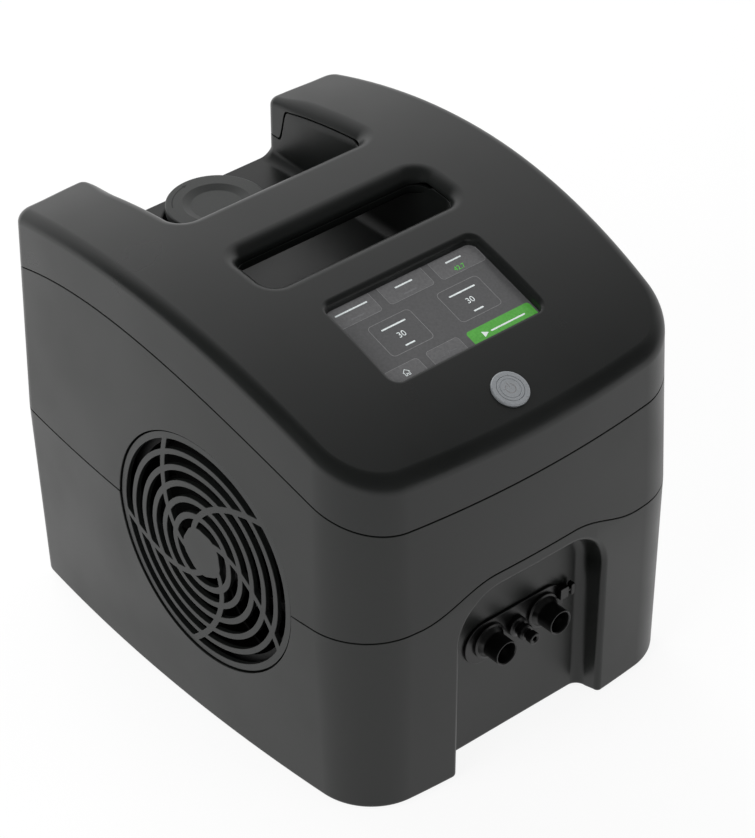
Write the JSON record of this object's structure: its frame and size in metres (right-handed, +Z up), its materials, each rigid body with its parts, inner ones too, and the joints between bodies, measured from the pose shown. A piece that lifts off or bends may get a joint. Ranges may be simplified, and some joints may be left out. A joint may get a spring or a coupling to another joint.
{
  "type": "hot cold therapy machine",
  "caption": "Free-standing hot and cold water therapy machine with carry handle, filler well, touch screen, power button, fan grilles and front hose connectors.",
  "frame": {"origin": "middle of the footprint, at the height of the surface that the feet stand on", "axes": "+Z up, -Y out of the front face with the hose connectors, +X to the right of someone facing that front from behind the machine"},
  "size_m": [0.2284, 0.2767, 0.2395],
  "materials": {
    "housing_plastic": "fine moulded texture, charcoal black",
    "deck_plastic": "fine moulded texture, charcoal black",
    "well_plastic": "fine moulded texture, charcoal black",
    "cap_plastic": "fine moulded texture, charcoal black",
    "grille_plastic": "satin black",
    "fan_plastic": "satin black",
    "connector_plastic": "smooth black",
    "pale_plastic": "natural",
    "tank_plastic": "milky",
    "ceramic": "bare ceramic",
    "board_laminate": "green laminate",
    "seal_rubber": "soft black",
    "hose_rubber": "soft dark grey",
    "foot_rubber": "soft black",
    "screen_glass": "smooth, lit from behind",
    "button_metal": "satin",
    "bare_aluminium": "satin",
    "motor_steel": "plated",
    "brass_fitting": "satin",
    "screw_steel": "blackened"
  },
  "bodies": {
    "housing": {"base_shell": "housing_plastic", "middle_shell": "housing_plastic", "top_shell": "deck_plastic", "well_tray": "well_plastic", "handle_underside": "well_plastic", "grille_left": "grille_plastic", "grille_right": "grille_plastic", "fan_frame_left": "fan_plastic", "fan_frame_right": "fan_plastic", "heat_sink_left": "bare_aluminium", "heat_sink_right": "bare_aluminium", "peltier_tiles": "ceramic", "water_block": "bare_aluminium", "chassis": "bare_aluminium", "water_tank": "tank_plastic", "filler_neck": "well_plastic", "pump_body": "fan_plastic", "air_pump": "motor_steel", "valve_body": "brass_fitting", "control_board": "board_laminate", "power_supply": "motor_steel", "display_module": "fan_plastic", "screen_gasket": "seal_rubber", "touch_glass": "screen_glass", "button_ring": "button_metal", "connector_plate": "connector_plastic", "spigot_left": "connector_plastic", "spigot_right": "connector_plastic", "air_coupler": "connector_plastic", "supply_hose": "hose_rubber", "return_hose": "hose_rubber", "tank_hose": "hose_rubber", "feed_hose": "hose_rubber", "air_tube": "pale_plastic", "vent_tube": "pale_plastic", "mains_inlet": "connector_plastic", "rubber_feet": "foot_rubber", "case_screws": "screw_steel"},
    "left_rotor": {"fan_rotor_left": "fan_plastic"},
    "right_rotor": {"fan_rotor_right": "fan_plastic"},
    "impeller": {"pump_impeller": "pale_plastic"},
    "power_button": {"button_cap": "button_metal"},
    "stopper": {"cap_stopper": "well_plastic", "stopper_seal": "seal_rubber"},
    "cap": {"filler_cap": "cap_plastic"},
    "left_poppet": {"poppet_left": "pale_plastic"},
    "right_poppet": {"poppet_right": "pale_plastic"},
    "plunger": {"valve_plunger": "motor_steel"},
    "latch": {"release_tab": "connector_plastic"}
  },
  "joints": [
    {"name": "left_fan_spin", "type": "hinge", "parent": "housing", "child": "left_rotor", "pos_m": [-0.094, -0.0204, 0.108], "axis": [-1, 0, 0], "continuous": true},
    {"name": "right_fan_spin", "type": "hinge", "parent": "housing", "child": "right_rotor", "pos_m": [0.094, -0.0204, 0.108], "axis": [1, 0, 0], "continuous": true},
    {"name": "impeller_spin", "type": "hinge", "parent": "housing", "child": "impeller", "pos_m": [-0.062, 0.088, 0.044], "axis": [0, 1, 0], "continuous": true},
    {"name": "button_press", "type": "slide", "parent": "housing", "child": "power_button", "axis": [0, 0.4198, -0.9076], "range_m": [0, 0.0012], "stiffness_N_per_m": 900},
    {"name": "stopper_lift", "type": "slide", "parent": "housing", "child": "stopper", "axis": [0, 0, 1], "range_m": [0, 0.03]},
    {"name": "cap_turn", "type": "hinge", "parent": "stopper", "child": "cap", "pos_m": [0, 0.1059, 0.196], "axis": [0, 0, 1], "range_deg": [0, 90]},
    {"name": "left_poppet_slide", "type": "slide", "parent": "housing", "child": "left_poppet", "axis": [0, 1, 0], "range_m": [0, 0.003], "stiffness_N_per_m": 300},
    {"name": "right_poppet_slide", "type": "slide", "parent": "housing", "child": "right_poppet", "axis": [0, 1, 0], "range_m": [0, 0.003], "stiffness_N_per_m": 300},
    {"name": "plunger_pull", "type": "slide", "parent": "housing", "child": "plunger", "axis": [0, 0, 1], "range_m": [0, 0.003], "stiffness_N_per_m": 400},
    {"name": "latch_press", "type": "slide", "parent": "housing", "child": "latch", "axis": [-1, 0, 0], "range_m": [0, 0.0014], "stiffness_N_per_m": 400}
  ]
}
